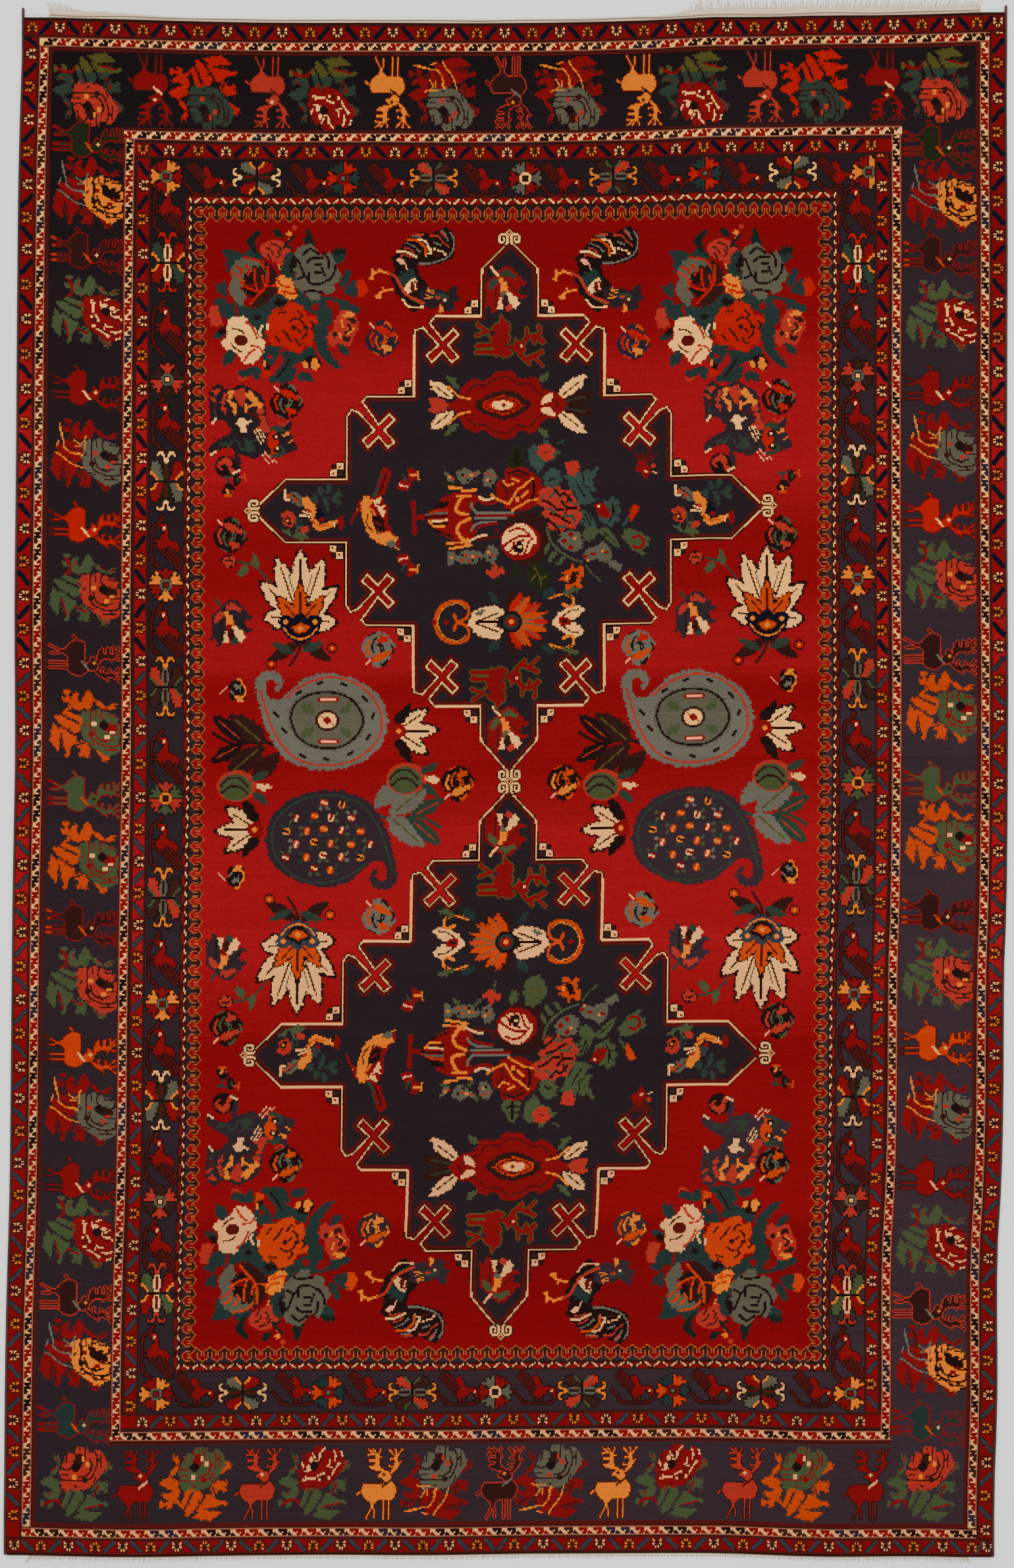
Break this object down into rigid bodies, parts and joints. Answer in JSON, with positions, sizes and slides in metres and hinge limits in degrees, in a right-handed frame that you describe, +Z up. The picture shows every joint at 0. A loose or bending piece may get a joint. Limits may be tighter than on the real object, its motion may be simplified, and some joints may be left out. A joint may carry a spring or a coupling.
{
  "type": "oriental rug",
  "caption": "Flat hand-knotted wool rug with slightly uneven sides, dark overcast selvedges and short cotton warp fringes at both ends.",
  "frame": {"origin": "middle of the rug's whole footprint, on the floor", "axes": "+X to the right across the rug, +Y to its head end along the rug, +Z up out of the pile"},
  "size_m": [2.038, 3.1752, 0.009],
  "materials": {
    "pile_wool": "soft wool pile, mostly red and navy",
    "selvedge_wool": "overcast wool yarn",
    "warp_cotton": "undyed matt cotton"
  },
  "bodies": {
    "root": {"rug_body": "pile_wool", "selvedge_left": "selvedge_wool", "selvedge_right": "selvedge_wool", "fringe_head": "warp_cotton", "fringe_foot": "warp_cotton"}
  },
  "joints": []
}
